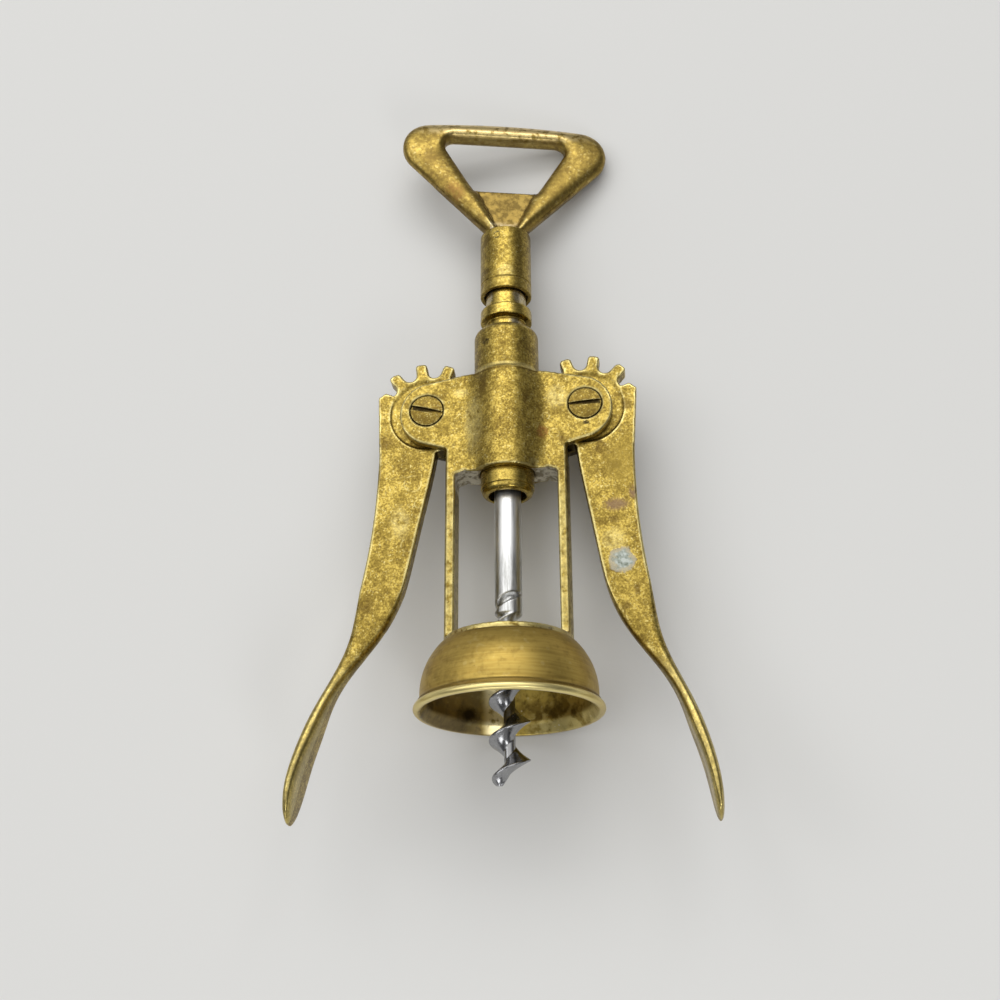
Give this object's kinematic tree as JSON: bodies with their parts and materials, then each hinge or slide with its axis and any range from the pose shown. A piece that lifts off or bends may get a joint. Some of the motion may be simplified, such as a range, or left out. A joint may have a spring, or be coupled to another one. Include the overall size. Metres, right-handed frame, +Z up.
{
  "type": "wing corkscrew",
  "caption": "All-brass wing corkscrew with a steel worm: geared levers draw a ringed rack, over a bell that seats on the bottle, with a cap-lifter loop as handle.",
  "frame": {"origin": "bottom centre of the bounding box, the tool lying on the rim of its bell and on its handle loop", "axes": "+Y along the tool towards the handle, X across the levers, +Z up; the slotted faces of the pivot screws face up"},
  "size_m": [0.0886, 0.1712, 0.0402],
  "materials": {
    "cast_brass": "aged, tarnished and handled",
    "lever_brass": "aged, tarnished, worn brighter at the edges",
    "spun_brass": "aged, satin, bright at the lip",
    "turned_brass": "turned, satin",
    "screw_brass": "rubbed bright",
    "steel": "bright, lightly stained"
  },
  "bodies": {
    "frame": {"frame_casting": "cast_brass", "bell": "spun_brass", "left_pivot_screw": "screw_brass", "right_pivot_screw": "screw_brass"},
    "rack": {"rack_sleeve": "turned_brass"},
    "spindle": {"worm_spindle": "steel", "handle_barrel": "turned_brass", "handle_cross_pin": "turned_brass", "opener_head": "cast_brass"},
    "left_lever": {"left_lever": "lever_brass"},
    "right_lever": {"right_lever": "lever_brass"}
  },
  "joints": [
    {"name": "rack_slide", "type": "slide", "parent": "frame", "child": "rack", "axis": [0, -0.9956, 0.0935], "range_m": [0, 0.0235]},
    {"name": "spindle_spin", "type": "hinge", "parent": "rack", "child": "spindle", "pos_m": [0.00171, 0.04227, 0.01052], "axis": [0, 0.9956, -0.0935], "continuous": true},
    {"name": "left_lever_swing", "type": "hinge", "parent": "frame", "child": "left_lever", "pos_m": [-0.01604, 0.00653, 0.01388], "axis": [0, -0.0935, -0.9956], "range_deg": [0, 109.07]},
    {"name": "right_lever_swing", "type": "hinge", "parent": "frame", "child": "right_lever", "pos_m": [0.01946, 0.00653, 0.01388], "axis": [0, 0.0935, 0.9956], "range_deg": [0, 109.07]}
  ],
  "couplings": [
    {"joint": "left_lever_swing", "follows": "rack_slide", "rad_per_m": 80.972},
    {"joint": "right_lever_swing", "follows": "rack_slide", "rad_per_m": 80.972}
  ]
}
